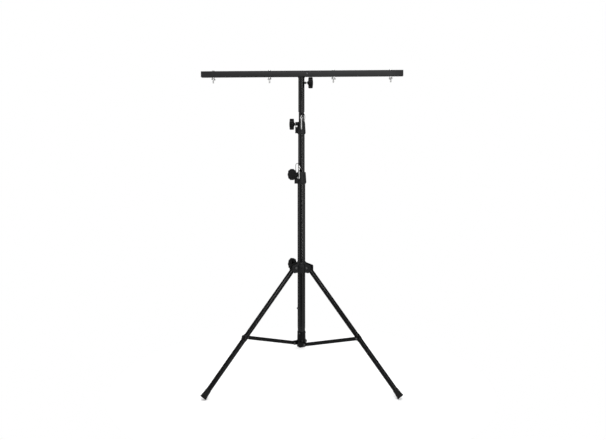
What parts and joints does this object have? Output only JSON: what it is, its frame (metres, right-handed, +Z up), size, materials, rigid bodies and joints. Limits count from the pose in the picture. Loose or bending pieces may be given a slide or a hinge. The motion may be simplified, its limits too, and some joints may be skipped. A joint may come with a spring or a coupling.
{
  "type": "telescopic lighting stand",
  "caption": "Folding tripod stand with a telescopic mast, clamp knobs and a square T-bar carrying bolts for hanging lights.",
  "frame": {"origin": "on the floor, on the axis of the mast", "axes": "+Z up the mast, X along the T-bar, -Y to the front of the stand"},
  "size_m": [1.2, 0.9914, 1.8375],
  "materials": {
    "tube_black": "satin powder coat",
    "leg_black": "gloss powder coat",
    "bar_black": "satin powder coat",
    "moulded_black": "moulded, fine grain",
    "knob_black": "moulded, semi-matt",
    "rubber_black": "matt",
    "nylon_grey": "turned nylon",
    "zinc_bright": "bright zinc plate",
    "fixing_dark": "dark zinc plate",
    "cord_black": "plastic-covered wire rope"
  },
  "bodies": {
    "base": {"base_tube": "tube_black", "base_plug": "moulded_black", "strut_bracket": "leg_black", "bracket_pins": "fixing_dark", "bracket_rivets": "fixing_dark", "stop_screw": "fixing_dark", "lower_collar": "moulded_black", "lower_bush": "nylon_grey", "lower_collar_bolt": "zinc_bright", "lower_pin": "zinc_bright", "lower_ring": "zinc_bright", "lower_lanyard": "cord_black", "lower_ferrules": "zinc_bright"},
    "hub": {"tripod_hub": "moulded_black", "hub_bush": "nylon_grey", "hub_screw": "fixing_dark", "hub_bolts": "fixing_dark"},
    "hub_clamp": {"hub_knob": "knob_black", "hub_knob_screw": "zinc_bright"},
    "lower_clamp": {"lower_knob": "knob_black", "lower_knob_screw": "zinc_bright"},
    "middle": {"mid_tube": "tube_black", "mid_foot": "nylon_grey", "upper_collar": "moulded_black", "upper_bush": "nylon_grey", "upper_collar_bolt": "zinc_bright", "upper_pin": "zinc_bright", "upper_ring": "zinc_bright", "upper_lanyard": "cord_black", "upper_ferrules": "zinc_bright"},
    "upper_clamp": {"upper_knob": "knob_black", "upper_knob_screw": "zinc_bright"},
    "top": {"top_tube": "tube_black", "top_foot": "nylon_grey"},
    "cross": {"t_bar": "bar_black", "bar_caps": "moulded_black", "bar_socket": "tube_black", "bar_bolts": "zinc_bright", "bar_screw": "fixing_dark"},
    "bar_clamp": {"bar_knob": "knob_black", "bar_knob_screw": "zinc_bright"},
    "tripod_leg_right": {"leg_right": "leg_black", "leg_lug_right": "leg_black", "foot_right": "rubber_black"},
    "brace_right": {"strut_right": "leg_black", "strut_bolt_right": "fixing_dark"},
    "tripod_leg_back": {"leg_back": "leg_black", "leg_lug_back": "leg_black", "foot_back": "rubber_black"},
    "brace_back": {"strut_back": "leg_black", "strut_bolt_back": "fixing_dark"},
    "tripod_leg_left": {"leg_left": "leg_black", "leg_lug_left": "leg_black", "foot_left": "rubber_black"},
    "brace_left": {"strut_left": "leg_black", "strut_bolt_left": "fixing_dark"},
    "nut_1": {"wing_nut_1": "zinc_bright"},
    "nut_2": {"wing_nut_2": "zinc_bright"},
    "nut_3": {"wing_nut_3": "zinc_bright"},
    "nut_4": {"wing_nut_4": "zinc_bright"}
  },
  "joints": [
    {"name": "hub_slide", "type": "slide", "parent": "base", "child": "hub", "axis": [0, 0, 1], "range_m": [0, 0.373]},
    {"name": "leg_fold_right", "type": "hinge", "parent": "hub", "child": "tripod_leg_right", "pos_m": [0.04292, -0.02149, 0.668], "axis": [0.4478, 0.8942, 0], "range_deg": [0, 37.18]},
    {"name": "brace_fold_right", "type": "hinge", "parent": "base", "child": "brace_right", "pos_m": [0.03398, -0.01701, 0.217], "axis": [-0.4478, -0.8942, 0], "range_deg": [0, 68.56]},
    {"name": "leg_fold_back", "type": "hinge", "parent": "hub", "child": "tripod_leg_back", "pos_m": [-0.00285, 0.04792, 0.668], "axis": [-0.9982, -0.0593, 0], "range_deg": [0, 37.18]},
    {"name": "brace_fold_back", "type": "hinge", "parent": "base", "child": "brace_back", "pos_m": [-0.00225, 0.03793, 0.217], "axis": [0.9982, 0.0593, 0], "range_deg": [0, 68.56]},
    {"name": "leg_fold_left", "type": "hinge", "parent": "hub", "child": "tripod_leg_left", "pos_m": [-0.04007, -0.02642, 0.668], "axis": [0.5505, -0.8348, 0], "range_deg": [0, 37.18]},
    {"name": "brace_fold_left", "type": "hinge", "parent": "base", "child": "brace_left", "pos_m": [-0.03172, -0.02092, 0.217], "axis": [-0.5505, 0.8348, 0], "range_deg": [0, 68.56]},
    {"name": "hub_clamp_turn", "type": "hinge", "parent": "hub", "child": "hub_clamp", "pos_m": [-0.03742, 0.01907, 0.682], "axis": [-0.891, 0.454, 0], "range_deg": [0, 540]},
    {"name": "lower_clamp_turn", "type": "hinge", "parent": "base", "child": "lower_clamp", "pos_m": [-0.03604, -0.02524, 1.217], "axis": [-0.8192, -0.5736, 0], "range_deg": [0, 540]},
    {"name": "middle_slide", "type": "slide", "parent": "base", "child": "middle", "axis": [0, 0, 1], "range_m": [-0.165, 0.5]},
    {"name": "upper_clamp_turn", "type": "hinge", "parent": "middle", "child": "upper_clamp", "pos_m": [-0.03598, -0.00126, 1.515], "axis": [-0.9994, -0.0349, 0], "range_deg": [0, 540]},
    {"name": "top_slide", "type": "slide", "parent": "middle", "child": "top", "axis": [0, 0, 1], "range_m": [0, 0.54]},
    {"name": "bar_swivel", "type": "hinge", "parent": "top", "child": "cross", "pos_m": [0, 0, 1.79], "axis": [0, 0, 1], "continuous": true},
    {"name": "bar_clamp_turn", "type": "hinge", "parent": "cross", "child": "bar_clamp", "pos_m": [0.0335, 0, 1.761], "axis": [1, 0, 0], "range_deg": [0, 540]},
    {"name": "nut_turn_1", "type": "hinge", "parent": "cross", "child": "nut_1", "pos_m": [-0.528, 0, 1.795], "axis": [0, 0, 1], "continuous": true},
    {"name": "nut_turn_2", "type": "hinge", "parent": "cross", "child": "nut_2", "pos_m": [-0.19, 0, 1.795], "axis": [0, 0, 1], "continuous": true},
    {"name": "nut_turn_3", "type": "hinge", "parent": "cross", "child": "nut_3", "pos_m": [0.19, 0, 1.795], "axis": [0, 0, 1], "continuous": true},
    {"name": "nut_turn_4", "type": "hinge", "parent": "cross", "child": "nut_4", "pos_m": [0.528, 0, 1.795], "axis": [0, 0, 1], "continuous": true}
  ],
  "couplings": [
    {"joint": "leg_fold_right", "follows": "hub_slide", "rad_per_m": 1.735},
    {"joint": "brace_fold_right", "follows": "hub_slide", "rad_per_m": 3.2035},
    {"joint": "leg_fold_back", "follows": "hub_slide", "rad_per_m": 1.735},
    {"joint": "brace_fold_back", "follows": "hub_slide", "rad_per_m": 3.2035},
    {"joint": "leg_fold_left", "follows": "hub_slide", "rad_per_m": 1.735},
    {"joint": "brace_fold_left", "follows": "hub_slide", "rad_per_m": 3.2035}
  ]
}
